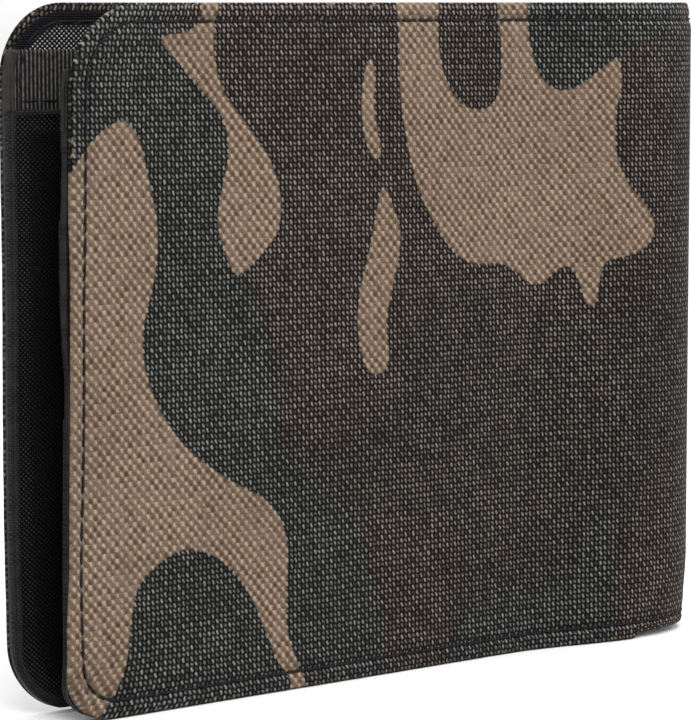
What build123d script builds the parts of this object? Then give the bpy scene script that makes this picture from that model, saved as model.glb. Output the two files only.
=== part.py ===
from build123d import *
import os

# A fabric wallet with three leaves, closed and standing on its long bottom edge.
# +X runs from the free edges of the leaves to the fold, +Y from the front cover to the back cover, +Z up.
# The origin is the middle of the wallet's box, at the bottom edge. All sizes are in millimetres.
# A layer's depth is its distance inward from the outer surface of the cover that it lies under.

# Overall size
LENGTH = 123.6
HEIGHT = 95.0
FOLD_THICKNESS = 18.0
EDGE_THICKNESS = 10.2
BACK_OVERHANG = 3.4
CORNER_RADIUS = 10.0

# The soft half-round fold, and the swell of each leaf that leads into it
FOLD_LENGTH = 12.0
SWELL_START_X = 23.0
SWELL_END_X = 48.0
LEAF_TO_FOLD_GAP = 0.75
HEM_STEP = 0.7
HEM_STEP_X = 46.5

# Layers of a leaf: depth of the outer side, and thickness
COVER_THICKNESS = 0.6
RIM_WIDTH = 1.2
RIM_DEPTH = 1.2
STIFFENER_DEPTH, STIFFENER_THICKNESS = 0.65, 0.3
STIFFENER_INSET = 4.0
LINING_DEPTH, LINING_THICKNESS = 1.0, 0.15
LINING_INSET = 1.3
DIVIDER_DEPTH, DIVIDER_THICKNESS = 1.25, 0.2
DIVIDER_INSET = 0.6
SLOT_DEPTH, SLOT_THICKNESS, SLOT_PITCH = 1.5, 0.2, 0.3
BINDING_DEPTH, BINDING_THICKNESS, BINDING_LIP = 1.5, 0.2, 0.4
BINDING_WIDTH = 7.9
THREAD_PROUD, THREAD_WIDTH, THREAD_INSET = 0.1, 0.5, 2.3

# Heights on the inner sides
FRONT_DIVIDER_TOP = 86.5
FOLD_DIVIDER_TOP = 87.7
BACK_DIVIDER_TOP = 89.0
SLOT_TOPS = {"card_slot_top": 66.5, "card_slot_middle": 53.5, "card_slot_bottom": 40.5}

# Coin pocket on the back leaf and its zip
POCKET_DEPTH, POCKET_THICKNESS = 1.75, 0.2
POCKET_TOP = 81.0
ZIP_Z = 73.0
ZIP_START_X, ZIP_END_X = -49.8, 18.8
ZIP_WINDOW_HALF = 2.4
ZIP_TAPE_DEPTH, ZIP_TAPE_THICKNESS = 1.5, 0.2
ZIP_TAPE_WIDTH, ZIP_TAPE_OVERRUN = 5.8, 3.0
COIL_DEPTH, COIL_THICKNESS, COIL_WIDTH = 1.72, 0.83, 1.33
COIL_CENTRE_GAP = 0.04
STOP_LENGTH, STOP_HALF_WIDTH = 1.2, 1.2
STOP_TO_COIL = 0.2

# Zip slider, its bail and its pull
SLIDER_X = 12.0
SLIDER_LENGTH = 8.0
SLIDER_HALF_WIDTH = 2.15
SLIDER_FLANGE = 0.6
SLIDER_FLANGE_DEPTH = 1.9
SLIDER_PLATE_DEPTH, SLIDER_PLATE_THICKNESS = 2.75, 0.6
BAIL_LENGTH, BAIL_HEIGHT, BAIL_WIDTH, BAIL_WALL = 4.6, 1.25, 1.2, 0.5
PULL_PIN_DEPTH, PULL_PIN_RADIUS = 3.72, 0.25
PULL_ARM, PULL_ARM_INNER_HALF = 0.6, 0.85
PULL_ARM_LENGTH, PULL_TAB_LENGTH = 3.6, 9.5
PULL_HALF_WIDTH, PULL_THICKNESS = 1.9, 0.5
PULL_END_RADIUS = 1.5

# Middle leaf
MIDDLE_START_X, MIDDLE_END_X = -46.0, 47.3
MIDDLE_BOTTOM, MIDDLE_TOP = 6.0, 67.0
MIDDLE_HALF_THICKNESS = 0.25
MIDDLE_TAPE_WIDTH, MIDDLE_TAPE_OUTER, MIDDLE_TAPE_INNER, MIDDLE_TAPE_WRAP = 4.0, 1.0, 0.8, 0.5
MIDDLE_TAPE_END_X = 45.5
WINDOW_START_X, WINDOW_END_X = -40.0, 42.0
WINDOW_BOTTOM, WINDOW_TOP = 10.5, 62.5
WINDOW_LAP = 3.0
FILM_NEAR, FILM_FAR = 0.30, 0.42
FRAME_NEAR, FRAME_FAR = 0.45, 0.70
MIDDLE_SLOTS = {"middle_slot_upper": (0.30, 54.0), "middle_slot_lower": (0.55, 41.0)}
HINGE_STRIP_START_X, HINGE_STRIP_END_X = 49.4, 60.2
HINGE_STRIP_HALF = 0.4

back_edge_x = -LENGTH / 2
front_edge_x = back_edge_x + BACK_OVERHANG
fold_centre_x = LENGTH / 2 - THREAD_PROUD - FOLD_LENGTH
leaf_end_x = fold_centre_x - LEAF_TO_FOLD_GAP
FRONT, BACK = -1, 1


def draw_leaf_band(free_x, end_x, depth, thickness):
    """Draws one layer of the front leaf in plan, flat at the free edge and swelling outward near the fold."""
    third = (SWELL_END_X - SWELL_START_X) / 3
    flat_y = depth - EDGE_THICKNESS / 2
    full_y = depth - FOLD_THICKNESS / 2
    for rise in (0, thickness):
        Line((free_x, flat_y + rise), (SWELL_START_X, flat_y + rise))
        Bezier(
            (SWELL_START_X, flat_y + rise),
            (SWELL_START_X + third, flat_y + rise),
            (SWELL_END_X - third, full_y + rise),
            (SWELL_END_X, full_y + rise),
        )
        Line((SWELL_END_X, full_y + rise), (end_x, full_y + rise))
    Line((free_x, flat_y), (free_x, flat_y + thickness))
    Line((end_x, full_y), (end_x, full_y + thickness))


def leaf_layer(side, free_x, end_x, depth, thickness, bottom, top, corner=0.0):
    """One layer of a leaf, with its two corners at the free edge rounded."""
    with BuildPart() as layer:
        with BuildSketch(Plane.XY.offset(bottom)):
            with BuildLine():
                draw_leaf_band(free_x, end_x, depth, thickness)
            make_face()
            if side == BACK:
                mirror(about=Plane.XZ, mode=Mode.REPLACE)
        extrude(amount=top - bottom)
        if corner > 0:
            fillet(layer.edges().filter_by(Axis.Y).group_by(Axis.X)[0], radius=corner)
    return layer


def fold_layer(depth, thickness, bottom, top):
    """One layer of the fold: half of an elliptical tube between the two leaves."""
    with BuildPart() as layer:
        with BuildSketch(Plane.XY.offset(bottom)):
            with Locations((fold_centre_x, 0)):
                Ellipse(FOLD_LENGTH - depth, FOLD_THICKNESS / 2 - depth)
                inner = depth + thickness
                Ellipse(FOLD_LENGTH - inner, FOLD_THICKNESS / 2 - inner, mode=Mode.SUBTRACT)
                Rectangle(
                    2 * FOLD_LENGTH,
                    2 * FOLD_THICKNESS,
                    align=(Align.MIN, Align.CENTER),
                    mode=Mode.INTERSECT,
                )
        extrude(amount=top - bottom)
    return layer


def block(x_range, y_range, z_range, corner=0.0):
    """A flat panel between three pairs of limits, with its corners rounded in its own plane."""
    size = [high - low for low, high in (x_range, y_range, z_range)]
    middle = [(high + low) / 2 for low, high in (x_range, y_range, z_range)]
    with BuildPart() as panel:
        with Locations(tuple(middle)):
            Box(*size)
        if corner > 0:
            fillet(panel.edges().filter_by(Axis.Y), radius=corner)
    return panel


def depth_range(side, near, far):
    """The Y limits of something on the flat part of a leaf, between two depths."""
    limits = (side * (EDGE_THICKNESS / 2 - near), side * (EDGE_THICKNESS / 2 - far))
    return (min(limits), max(limits))


def save(name, builder):
    """Labels a finished piece and writes it as its own file."""
    builder.part.label = name
    export_step(builder.part, f"parts/{name}.step")
    pieces[name] = builder.part


pieces = {}
os.makedirs("parts", exist_ok=True)
SIDES = {"front": (FRONT, front_edge_x), "back": (BACK, back_edge_x)}

# Outer fabric of each leaf, wrapped round its edges as a rim. The bottom hem steps up beside the fold.
for side_name, (side, free_x) in SIDES.items():
    shell = leaf_layer(side, free_x, leaf_end_x, 0, RIM_DEPTH, 0, HEIGHT, CORNER_RADIUS)
    inside = leaf_layer(
        side,
        free_x + RIM_WIDTH,
        leaf_end_x + RIM_WIDTH,
        COVER_THICKNESS,
        RIM_DEPTH,
        RIM_WIDTH,
        HEIGHT - RIM_WIDTH,
        CORNER_RADIUS - RIM_WIDTH,
    )
    with BuildPart() as cover:
        add(shell.part)
        add(inside.part, mode=Mode.SUBTRACT)
        with Locations((HEM_STEP_X, 0, 0)):
            Box(
                FOLD_LENGTH,
                2 * FOLD_THICKNESS,
                HEM_STEP,
                align=(Align.MIN, Align.CENTER, Align.MIN),
                mode=Mode.SUBTRACT,
            )
    save(f"cover_{side_name}", cover)

# Outer fabric round the fold, with the same rim along its top and bottom
fold_shell = fold_layer(0, RIM_DEPTH, HEM_STEP, HEIGHT)
fold_inside = fold_layer(COVER_THICKNESS, RIM_DEPTH, HEM_STEP + RIM_WIDTH, HEIGHT - RIM_WIDTH)
with BuildPart() as cover_fold:
    add(fold_shell.part)
    add(fold_inside.part, mode=Mode.SUBTRACT)
save("cover_fold", cover_fold)

# Stiffening board sealed between each leaf's cover and lining
for side_name, (side, free_x) in SIDES.items():
    stiffener = leaf_layer(
        side,
        free_x + STIFFENER_INSET,
        leaf_end_x,
        STIFFENER_DEPTH,
        STIFFENER_THICKNESS,
        STIFFENER_INSET,
        HEIGHT - STIFFENER_INSET,
        CORNER_RADIUS - STIFFENER_INSET,
    )
    save(f"stiffener_{side_name}", stiffener)

# Lining, which is the outer wall of the note compartment
for side_name, (side, free_x) in SIDES.items():
    lining = leaf_layer(
        side,
        free_x + LINING_INSET,
        leaf_end_x,
        LINING_DEPTH,
        LINING_THICKNESS,
        LINING_INSET,
        HEIGHT - LINING_INSET,
        CORNER_RADIUS - LINING_INSET,
    )
    save(f"lining_{side_name}", lining)
lining_fold = fold_layer(
    LINING_DEPTH, LINING_THICKNESS, HEM_STEP + LINING_INSET, HEIGHT - LINING_INSET
)
save("lining_fold", lining_fold)

# Divider, which is the inner wall of the note compartment, with a ribbon folded over its open top edge
DIVIDER_TOPS = {"front": FRONT_DIVIDER_TOP, "back": BACK_DIVIDER_TOP}
for side_name, (side, free_x) in SIDES.items():
    divider_top = DIVIDER_TOPS[side_name]
    divider_edge_x = free_x + DIVIDER_INSET
    divider = leaf_layer(
        side,
        divider_edge_x,
        leaf_end_x,
        DIVIDER_DEPTH,
        DIVIDER_THICKNESS,
        DIVIDER_INSET,
        divider_top - BINDING_LIP,
    )
    with BuildPart() as divider_panel:
        add(divider.part)
        low_corner = divider_panel.edges().filter_by(Axis.Y).group_by(Axis.X)[0].sort_by(Axis.Z)[0]
        fillet(low_corner, radius=CORNER_RADIUS - DIVIDER_INSET)
    save(f"divider_{side_name}", divider_panel)
    ribbon = leaf_layer(
        side,
        divider_edge_x,
        leaf_end_x,
        BINDING_DEPTH,
        BINDING_THICKNESS,
        divider_top - BINDING_WIDTH,
        divider_top,
    )
    lip = leaf_layer(
        side,
        divider_edge_x,
        leaf_end_x,
        DIVIDER_DEPTH,
        BINDING_DEPTH - DIVIDER_DEPTH,
        divider_top - BINDING_LIP,
        divider_top,
    )
    with BuildPart() as binding:
        add(ribbon.part)
        add(lip.part)
    save(f"ribbon_{side_name}", binding)
divider_fold = fold_layer(
    DIVIDER_DEPTH, DIVIDER_THICKNESS, HEM_STEP + DIVIDER_INSET, FOLD_DIVIDER_TOP - BINDING_LIP
)
save("divider_fold", divider_fold)
fold_ribbon = fold_layer(
    BINDING_DEPTH, BINDING_THICKNESS, FOLD_DIVIDER_TOP - BINDING_WIDTH, FOLD_DIVIDER_TOP
)
fold_lip = fold_layer(
    DIVIDER_DEPTH, BINDING_DEPTH - DIVIDER_DEPTH, FOLD_DIVIDER_TOP - BINDING_LIP, FOLD_DIVIDER_TOP
)
with BuildPart() as ribbon_fold:
    add(fold_ribbon.part)
    add(fold_lip.part)
save("ribbon_fold", ribbon_fold)

# Stepped card slots on the front leaf's inner side
for index, (slot_name, slot_top) in enumerate(SLOT_TOPS.items()):
    slot = leaf_layer(
        FRONT,
        front_edge_x + DIVIDER_INSET,
        leaf_end_x,
        SLOT_DEPTH + index * SLOT_PITCH,
        SLOT_THICKNESS,
        DIVIDER_INSET,
        slot_top,
    )
    with BuildPart() as card_slot:
        add(slot.part)
        slot_corner = card_slot.edges().filter_by(Axis.Y).group_by(Axis.X)[0].sort_by(Axis.Z)[0]
        fillet(slot_corner, radius=CORNER_RADIUS - DIVIDER_INSET)
    save(slot_name, card_slot)

# Seam thread along the edges of the cover, standing a little proud of the fabric
for side_name, (side, free_x) in SIDES.items():
    thread_rings = [
        leaf_layer(
            side,
            free_x + inset,
            leaf_end_x + extra,
            -THREAD_PROUD,
            THREAD_PROUD,
            inset,
            HEIGHT - inset,
            CORNER_RADIUS - inset,
        )
        for inset, extra in ((THREAD_INSET, 0), (THREAD_INSET + THREAD_WIDTH, THREAD_WIDTH))
    ]
    with BuildPart() as thread:
        add(thread_rings[0].part)
        add(thread_rings[1].part, mode=Mode.SUBTRACT)
    save(f"seam_thread_{side_name}", thread)
with BuildPart() as seam_thread_fold:
    for thread_z in (THREAD_INSET, HEIGHT - THREAD_INSET - THREAD_WIDTH):
        run = fold_layer(-THREAD_PROUD, THREAD_PROUD, thread_z, thread_z + THREAD_WIDTH)
        add(run.part)
save("seam_thread_fold", seam_thread_fold)

# Coin pocket panel on the back leaf's inner side, with a long window for the zip
pocket_sheet = leaf_layer(
    BACK,
    back_edge_x + DIVIDER_INSET,
    leaf_end_x,
    POCKET_DEPTH,
    POCKET_THICKNESS,
    DIVIDER_INSET,
    POCKET_TOP,
)
with BuildPart() as coin_pocket:
    add(pocket_sheet.part)
    pocket_corner = coin_pocket.edges().filter_by(Axis.Y).group_by(Axis.X)[0].sort_by(Axis.Z)[0]
    fillet(pocket_corner, radius=CORNER_RADIUS - DIVIDER_INSET)
    with Locations(((ZIP_START_X + ZIP_END_X) / 2, 0, ZIP_Z)):
        Box(ZIP_END_X - ZIP_START_X, 2 * FOLD_THICKNESS, 2 * ZIP_WINDOW_HALF, mode=Mode.SUBTRACT)
save("coin_pocket", coin_pocket)

# Zip: two tapes behind the panel, a coil on each, and a stop at each end of the coils
tape_x = (ZIP_START_X - ZIP_TAPE_OVERRUN, ZIP_END_X + ZIP_TAPE_OVERRUN)
tape_y = depth_range(BACK, ZIP_TAPE_DEPTH, ZIP_TAPE_DEPTH + ZIP_TAPE_THICKNESS)
coil_x = (ZIP_START_X + STOP_LENGTH + STOP_TO_COIL, ZIP_END_X - STOP_LENGTH - STOP_TO_COIL)
coil_y = depth_range(BACK, COIL_DEPTH, COIL_DEPTH + COIL_THICKNESS)
for half_name, direction in (("lower", -1), ("upper", 1)):
    tape_near = ZIP_Z + direction * COIL_WIDTH / 2
    tape_far = ZIP_Z + direction * (COIL_WIDTH / 2 + ZIP_TAPE_WIDTH)
    save(f"zip_tape_{half_name}", block(tape_x, tape_y, sorted((tape_near, tape_far))))
    coil_near = ZIP_Z + direction * COIL_CENTRE_GAP / 2
    coil_far = ZIP_Z + direction * COIL_WIDTH
    save(f"zip_coil_{half_name}", block(coil_x, coil_y, sorted((coil_near, coil_far))))
with BuildPart() as zip_stops:
    for stop_x in (ZIP_START_X, ZIP_END_X - STOP_LENGTH):
        stop = block(
            (stop_x, stop_x + STOP_LENGTH), coil_y, (ZIP_Z - STOP_HALF_WIDTH, ZIP_Z + STOP_HALF_WIDTH)
        )
        add(stop.part)
save("zip_stops", zip_stops)

# Zip slider: a plate over the coils, a flange down each side of them, and a bail for the pull
plate_top = SLIDER_PLATE_DEPTH + SLIDER_PLATE_THICKNESS
slider_x = (SLIDER_X - SLIDER_LENGTH / 2, SLIDER_X + SLIDER_LENGTH / 2)
plate = block(
    slider_x,
    depth_range(BACK, SLIDER_PLATE_DEPTH, plate_top),
    (ZIP_Z - SLIDER_HALF_WIDTH, ZIP_Z + SLIDER_HALF_WIDTH),
    SLIDER_HALF_WIDTH / 2,
)
bail = block(
    (SLIDER_X - BAIL_LENGTH / 2, SLIDER_X + BAIL_LENGTH / 2),
    depth_range(BACK, plate_top, plate_top + BAIL_HEIGHT),
    (ZIP_Z - BAIL_WIDTH / 2, ZIP_Z + BAIL_WIDTH / 2),
)
bail_hole = block(
    (SLIDER_X - BAIL_LENGTH / 2 + BAIL_WALL, SLIDER_X + BAIL_LENGTH / 2 - BAIL_WALL),
    depth_range(BACK, plate_top, plate_top + BAIL_HEIGHT - BAIL_WALL),
    (ZIP_Z - BAIL_WIDTH, ZIP_Z + BAIL_WIDTH),
)
with BuildPart() as zip_slider:
    add(plate.part)
    for flange_z in (ZIP_Z - SLIDER_HALF_WIDTH, ZIP_Z + SLIDER_HALF_WIDTH - SLIDER_FLANGE):
        flange = block(
            (slider_x[0] + SLIDER_HALF_WIDTH / 2, slider_x[1] - SLIDER_HALF_WIDTH / 2),
            depth_range(BACK, SLIDER_FLANGE_DEPTH, plate_top),
            (flange_z, flange_z + SLIDER_FLANGE),
        )
        add(flange.part)
    add(bail.part)
    add(bail_hole.part, mode=Mode.SUBTRACT)
save("zip_slider", zip_slider)

# Pull tab: a pin through the bail, two arms beside it, and a flat tab lying towards the free edge
pull_y = EDGE_THICKNESS / 2 - PULL_PIN_DEPTH
pull_range_y = (pull_y - PULL_THICKNESS / 2, pull_y + PULL_THICKNESS / 2)
arm_outer = PULL_ARM_INNER_HALF + PULL_ARM
tab_start_x = SLIDER_X - PULL_ARM_LENGTH
tab = block(
    (tab_start_x - PULL_TAB_LENGTH, tab_start_x),
    pull_range_y,
    (ZIP_Z - PULL_HALF_WIDTH, ZIP_Z + PULL_HALF_WIDTH),
    PULL_END_RADIUS,
)
with BuildPart() as zip_pull:
    add(tab.part)
    for arm_z in (ZIP_Z - arm_outer, ZIP_Z + PULL_ARM_INNER_HALF):
        arm = block((tab_start_x - PULL_END_RADIUS, SLIDER_X), pull_range_y, (arm_z, arm_z + PULL_ARM))
        add(arm.part)
    with Locations((SLIDER_X, pull_y, ZIP_Z)):
        Cylinder(PULL_PIN_RADIUS, 2 * arm_outer)
save("zip_pull", zip_pull)

# Middle leaf: core panel, edge tape, clear window in its frame on one side, card slots on the other
middle_x = (MIDDLE_START_X, MIDDLE_END_X)
middle_z = (MIDDLE_BOTTOM, MIDDLE_TOP)
middle_panel = block(middle_x, (-MIDDLE_HALF_THICKNESS, MIDDLE_HALF_THICKNESS), middle_z)
save("middle_panel", middle_panel)

tape_outside = block(
    (MIDDLE_START_X - MIDDLE_TAPE_WRAP, MIDDLE_TAPE_END_X),
    (-MIDDLE_TAPE_OUTER, MIDDLE_TAPE_OUTER),
    (MIDDLE_BOTTOM - MIDDLE_TAPE_WRAP, MIDDLE_TOP + MIDDLE_TAPE_WRAP),
)
tape_opening = block(
    (MIDDLE_START_X + MIDDLE_TAPE_WIDTH, MIDDLE_TAPE_END_X + MIDDLE_TAPE_WIDTH),
    (-MIDDLE_TAPE_OUTER, MIDDLE_TAPE_OUTER),
    (MIDDLE_BOTTOM + MIDDLE_TAPE_WIDTH, MIDDLE_TOP - MIDDLE_TAPE_WIDTH),
)
tape_pinch = block(
    (MIDDLE_START_X, MIDDLE_TAPE_END_X + MIDDLE_TAPE_WIDTH),
    (-MIDDLE_TAPE_INNER, MIDDLE_TAPE_INNER),
    middle_z,
)
with BuildPart() as middle_tape:
    add(tape_outside.part)
    add(tape_opening.part, mode=Mode.SUBTRACT)
    add(tape_pinch.part, mode=Mode.SUBTRACT)
save("middle_tape", middle_tape)

window_film = block(
    (WINDOW_START_X - WINDOW_LAP / 2, WINDOW_END_X + WINDOW_LAP / 2),
    (-FILM_FAR, -FILM_NEAR),
    (WINDOW_BOTTOM - WINDOW_LAP / 2, WINDOW_TOP + WINDOW_LAP / 2),
)
save("window_film", window_film)
frame_sheet = block(middle_x, (-FRAME_FAR, -FRAME_NEAR), middle_z)
frame_hole = block(
    (WINDOW_START_X, WINDOW_END_X),
    (-FRAME_FAR, -FRAME_NEAR),
    (WINDOW_BOTTOM, WINDOW_TOP),
    WINDOW_LAP,
)
with BuildPart() as window_frame:
    add(frame_sheet.part)
    add(frame_hole.part, mode=Mode.SUBTRACT)
save("window_frame", window_frame)

for slot_name, (slot_near, slot_top) in MIDDLE_SLOTS.items():
    middle_slot = block(
        middle_x, (slot_near, slot_near + SLOT_THICKNESS), (MIDDLE_BOTTOM, slot_top)
    )
    save(slot_name, middle_slot)

# Strip sewn inside the fold, which the middle leaf turns on
hinge_strip = block(
    (HINGE_STRIP_START_X, HINGE_STRIP_END_X), (-HINGE_STRIP_HALF, HINGE_STRIP_HALF), middle_z
)
save("hinge_strip", hinge_strip)

box = Compound(children=list(pieces.values())).bounding_box()
print(f"{len(pieces)} pieces, {box.size.X:.2f} x {box.size.Y:.2f} x {box.size.Z:.2f} mm")
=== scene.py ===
import math
from functools import partial

import bpy
import numpy as np
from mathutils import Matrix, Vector


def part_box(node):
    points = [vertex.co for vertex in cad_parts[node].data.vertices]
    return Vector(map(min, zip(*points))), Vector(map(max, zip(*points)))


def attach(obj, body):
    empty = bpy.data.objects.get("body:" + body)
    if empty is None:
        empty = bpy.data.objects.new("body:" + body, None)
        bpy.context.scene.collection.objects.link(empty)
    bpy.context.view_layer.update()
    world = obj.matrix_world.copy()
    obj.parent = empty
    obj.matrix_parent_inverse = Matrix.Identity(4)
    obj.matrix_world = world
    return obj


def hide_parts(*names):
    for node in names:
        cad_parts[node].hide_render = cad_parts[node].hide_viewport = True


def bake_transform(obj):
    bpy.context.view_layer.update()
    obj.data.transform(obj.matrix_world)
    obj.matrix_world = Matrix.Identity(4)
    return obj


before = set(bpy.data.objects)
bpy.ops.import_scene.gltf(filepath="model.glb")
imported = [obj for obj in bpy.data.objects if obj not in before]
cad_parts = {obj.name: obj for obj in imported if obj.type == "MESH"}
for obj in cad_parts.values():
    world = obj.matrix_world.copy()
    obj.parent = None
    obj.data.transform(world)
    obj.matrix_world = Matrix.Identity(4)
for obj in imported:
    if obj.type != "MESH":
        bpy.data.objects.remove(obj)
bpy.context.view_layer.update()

# ---------------------------------------------------------------- measures (mm)
MM = 0.001


def box(node):
    """A CAD node's lowest and highest corner, in mm."""
    lo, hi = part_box(node)
    return np.array(lo) / MM, np.array(hi) / MM


STIFFENER_DEPTH = 0.95  # the board's inner face, below the cover's surface
ARC_X = 12.0  # how far the fold's round end reaches along X
SWELL_START, SWELL_END = 23.0, 48.0  # the X where a leaf starts to swell, and where it has the fold's width
CORNER, ROUND_CORNER, TIGHT_CORNER = 10.0, 12.0, 7.0  # the outline's, and the front's upper and lower one
HEM_STEP, HEM_STEP_X = 0.8, 45.4  # the lower hem's step up at the fold
STITCH_INSET, STITCH_PITCH = 2.5, 3.1
SEAM_START = 0.4  # the seam's first stitch, from the middle of the fold
SEAM_RADIUS = CORNER - STITCH_INSET
RIM = 0.45  # half the thickness of the cover's rolled edge
WARP_PITCH, WEFT_PITCH = 0.742, 0.770
RIBBON_HEIGHT = 7.9
LINING_INSET = 1.1

# depths below the cover's surface
LINING_OUTER, LINING_INNER = 0.98, 1.12
DIVIDER_OUTER, DIVIDER_INNER = 1.19, 1.40
SLOT_DEPTH, SLOT_STEP, SLOT_CLOTH = 1.50, 0.30, 0.20
POCKET_OUTER, POCKET_INNER = 1.75, 1.95
TAPE_OUTER, TAPE_INNER = 1.50, 1.70

TOP = box("cover_fold")[1][2]
FOLD_X, FOLD_Y = box("cover_fold")[1][:2]
FLAT_Y = STIFFENER_DEPTH - box("stiffener_front")[1][1]
FRONT_X = box("cover_front")[0][0]
BACK_X = box("cover_back")[0][0]
ARC_CENTRE = FOLD_X - ARC_X


def smooth(t):
    """0 up to t = 0, 1 from t = 1, with a soft step between."""
    t = np.clip(t, 0, 1)
    return t * t * (3 - 2 * t)


def above(h, start, length):
    """A soft step from 0 to 1, upwards from start."""
    return smooth((h - start) / length)


def below(h, start, length):
    """A soft step from 0 to 1, downwards from start."""
    return smooth((start - h) / length)


def bell(distance, width):
    return np.exp(-(distance / width) ** 2)


def half_round(t, power=2):
    """A round hump: 1 at t = 0, and 0 from t = 1 either way."""
    return np.sqrt(np.maximum(1 - t**power, 0))


class Plan:
    """The cover's outer surface seen from above, from the middle of the fold (u = 0) to a free edge."""

    def __init__(self, side, free_x):
        a = np.linspace(0, np.pi / 2, 500)
        x = np.arange(ARC_CENTRE - 0.05, free_x - 5, -0.05)
        y = FLAT_Y + (FOLD_Y - FLAT_Y) * above(x, SWELL_START, SWELL_END - SWELL_START)
        self.x = np.concatenate([ARC_CENTRE + ARC_X * np.cos(a), x])
        self.y = np.concatenate([FOLD_Y * np.sin(a), y])
        self.s = np.concatenate([[0], np.cumsum(np.hypot(np.diff(self.x), np.diff(self.y)))])
        tx, ty = np.gradient(self.x, self.s), np.gradient(self.y, self.s)
        self.nx, self.ny = -ty, tx
        self.side = side
        self.end = self.u(free_x)

    def u(self, x):
        """The length along the curve to the leaf point at this X."""
        leaf = self.x < ARC_CENTRE + 1e-6
        return float(np.interp(-x, -self.x[leaf], self.s[leaf]))

    def at(self, u, d):
        """X and Y at length u and depth d."""
        x = np.interp(u, self.s, self.x) + d * np.interp(u, self.s, self.nx)
        y = np.interp(u, self.s, self.y) + d * np.interp(u, self.s, self.ny)
        return x, y * self.side

    def out(self, u):
        """The outward direction's X and Y."""
        return -np.interp(u, self.s, self.nx), -np.interp(u, self.s, self.ny) * self.side

    def near_edge(self, u, reach):
        """1 at the free edge, fading to 0 at this distance from it."""
        return smooth(1 - (self.end - u) / reach)


class Flat:
    """A straight plan for the middle leaf: u runs from x1 towards -X, and depth runs along Y."""

    def __init__(self, x0, x1):
        self.x1, self.end = x1, x1 - x0

    def u(self, x):
        return self.x1 - x

    def at(self, u, d):
        return self.x1 - u, d + 0 * u


FRONT = Plan(-1, FRONT_X)
BACK = Plan(1, BACK_X)
ARC_LENGTH = FRONT.u(ARC_CENTRE)
MID_CLOTH = ARC_CENTRE + ARC_LENGTH  # the cloth coordinate at the middle of the fold
# where a sheet has rows of points near an edge
EDGE = [0, 0.02, 0.09, 0.2, 0.35, 0.52, 0.7, 0.9, 1.15, 1.4, 1.65, 1.9, 2.1, 2.3, 2.5, 2.7, 2.9,
        3.2, 3.6, 4.1, 4.7, 5.5, 6.3, 7.1, 8.0, 9.0, 10.0, 11.0, 12.0]
CORNER_FADE = 12.0  # how far from the free edge rows of points still follow its corners in full


# ---------------------------------------------------------------- mesh helpers
def make(name, verts, faces, material, attrs=None, sharp=None):
    """A smooth-shaded mesh object from points in mm; attrs are point attributes, vectors or numbers."""
    verts = np.asarray(verts, float)
    tri = [(f[0], f[k], f[k + 1]) for f in faces for k in range(1, len(f) - 1)]
    a, b, c = (verts[[t[k] for t in tri]] for k in range(3))
    if (a * np.cross(b, c)).sum() < 0:
        faces = [tuple(reversed(f)) for f in faces]
    mesh = bpy.data.meshes.new(name)
    mesh.from_pydata((verts * MM).tolist(), [], faces)
    mesh.validate()
    mesh.polygons.foreach_set("use_smooth", [True] * len(mesh.polygons))
    for key, value in (attrs or {}).items():
        value = np.asarray(value, np.float32)
        kind = "FLOAT_VECTOR" if value.ndim == 2 else "FLOAT"
        layer = mesh.attributes.new(key, kind, "POINT")
        layer.data.foreach_set("vector" if value.ndim == 2 else "value", value.ravel())
    if sharp is not None:
        marks = np.zeros(len(mesh.vertices), bool)
        marks[sharp] = True
        ends = np.zeros(2 * len(mesh.edges), np.int32)
        mesh.edges.foreach_get("vertices", ends)
        ends = ends.reshape(-1, 2)
        layer = mesh.attributes.new("sharp_edge", "BOOLEAN", "EDGE")
        layer.data.foreach_set("value", marks[ends].all(1))
    mesh.materials.append(material)
    obj = bpy.data.objects.new(name, mesh)
    bpy.context.scene.collection.objects.link(obj)
    return obj


def steps(length, pitch, both_ends=True):
    """Distances from 0 to length, fine near the start and, where that is an edge too, near the end."""
    near = [e for e in EDGE if e < length / 2 - 0.3 * pitch]
    far = [length - e for e in reversed(near)] if both_ends else [length]
    n = max(1, math.ceil((far[0] - near[-1]) / pitch))
    between = list(np.linspace(near[-1], far[0], n + 1)[1:-1])
    return np.array(near + between + far)


def corner_cut(z, low, high, radius):
    """How far a rounded corner cuts into a row at height z."""
    gap = np.clip(radius - np.minimum(high - z, z - low), 0, radius)
    return radius - np.sqrt(np.maximum(radius**2 - gap**2, 0))


def rim_distance(u, z, end, low, high, radius):
    """The distance to the outline: free edge, top, bottom and two round corners."""
    a, b = end - u, np.minimum(high - z, z - low)
    corner = radius - np.hypot(np.maximum(radius - a, 0), np.maximum(radius - b, 0))
    return np.where((a < radius) & (b < radius), corner, np.minimum(a, b))


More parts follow.
